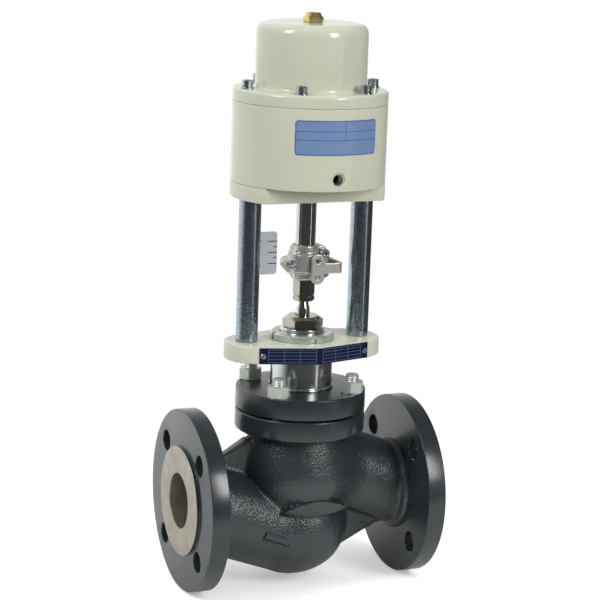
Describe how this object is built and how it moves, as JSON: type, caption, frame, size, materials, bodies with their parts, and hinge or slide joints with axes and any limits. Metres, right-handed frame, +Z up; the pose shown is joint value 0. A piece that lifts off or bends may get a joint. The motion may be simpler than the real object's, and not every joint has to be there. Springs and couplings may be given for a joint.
{
  "type": "pneumatic on-off valve",
  "caption": "Flanged globe valve with a gland and yoke on two pillars, opened by air on a piston and closed by a spring, with a split clamp coupling, stroke scale and feedback bracket.",
  "frame": {"origin": "centre of the inlet's raised face, on the pipe axis", "axes": "+X along the pipe from inlet to outlet, +Z up along the stem to the actuator, -Y the front with the air port and the label"},
  "size_m": [0.23, 0.165, 0.5192],
  "materials": {
    "body_paint": "dark blue grey paint over a rough sand casting",
    "bonnet_paint": "dark grey paint on a turned flange",
    "ivory_paint": "satin ivory paint",
    "stainless": "turned stainless steel",
    "turned_steel": "bright turned steel",
    "blasted_steel": "cast and blasted stainless steel",
    "pillar_steel": "drawn steel bar, satin",
    "plain_steel": "plain steel",
    "zinc": "zinc plated steel",
    "chrome_rod": "hard chromed and ground",
    "spring_wire": "oiled spring wire",
    "scale_sheet": "satin sheet",
    "piston_alloy": "turned aluminium alloy",
    "bronze": "bearing bronze",
    "vent_brass": "turned brass",
    "blue_plate": "dark blue plate, bare",
    "blue_label": "blue film label, bare",
    "black_ink": "black marks",
    "ptfe": "pale fluoropolymer",
    "graphite": "graphite sheet",
    "black_rubber": "nitrile rubber"
  },
  "bodies": {
    "valve_frame": {"valve_body": "body_paint", "seat_ring": "stainless", "bonnet": "bonnet_paint", "bonnet_gasket": "graphite", "bonnet_studs": "zinc", "bonnet_nuts": "zinc", "stem_guide": "bronze", "bonnet_neck": "turned_steel", "packing_washer": "stainless", "packing_rings": "ptfe", "gland_bush": "bronze", "gland_nut": "blasted_steel", "ring_nut": "turned_steel", "yoke_plate": "ivory_paint", "name_plate": "blue_plate", "name_plate_screws": "zinc", "pillar_left": "pillar_steel", "pillar_right": "pillar_steel", "pillar_screws": "plain_steel", "scale_plate": "scale_sheet", "scale_marks": "black_ink", "scale_screws": "zinc", "lower_cover": "ivory_paint", "rod_bush": "bronze", "rod_seal": "black_rubber", "cover_screws": "plain_steel", "actuator_cylinder": "ivory_paint", "casing_label": "blue_label", "main_spring": "spring_wire", "spring_seat": "plain_steel", "spring_housing": "ivory_paint", "housing_washers": "zinc", "housing_screws": "zinc", "vent_plug": "vent_brass"},
    "stem_train": {"plug": "stainless", "plug_seal": "ptfe", "plug_washer": "stainless", "plug_nut": "stainless", "valve_stem": "stainless", "lock_nut": "blasted_steel", "hex_adapter": "blasted_steel", "coupling_front": "blasted_steel", "coupling_rear": "blasted_steel", "coupling_screws": "zinc", "pointer": "blasted_steel", "pointer_screw": "zinc", "feedback_bracket": "blasted_steel", "bracket_screw": "zinc", "actuator_rod": "chrome_rod", "piston": "piston_alloy", "piston_seal": "black_rubber", "piston_guide": "ptfe", "piston_nut": "plain_steel"}
  },
  "joints": [
    {"name": "stem_lift", "type": "slide", "parent": "valve_frame", "child": "stem_train", "axis": [0, 0, 1], "range_m": [0, 0.02], "stiffness_N_per_m": 5000, "springref_m": -0.02, "deforming": ["main_spring"]}
  ]
}
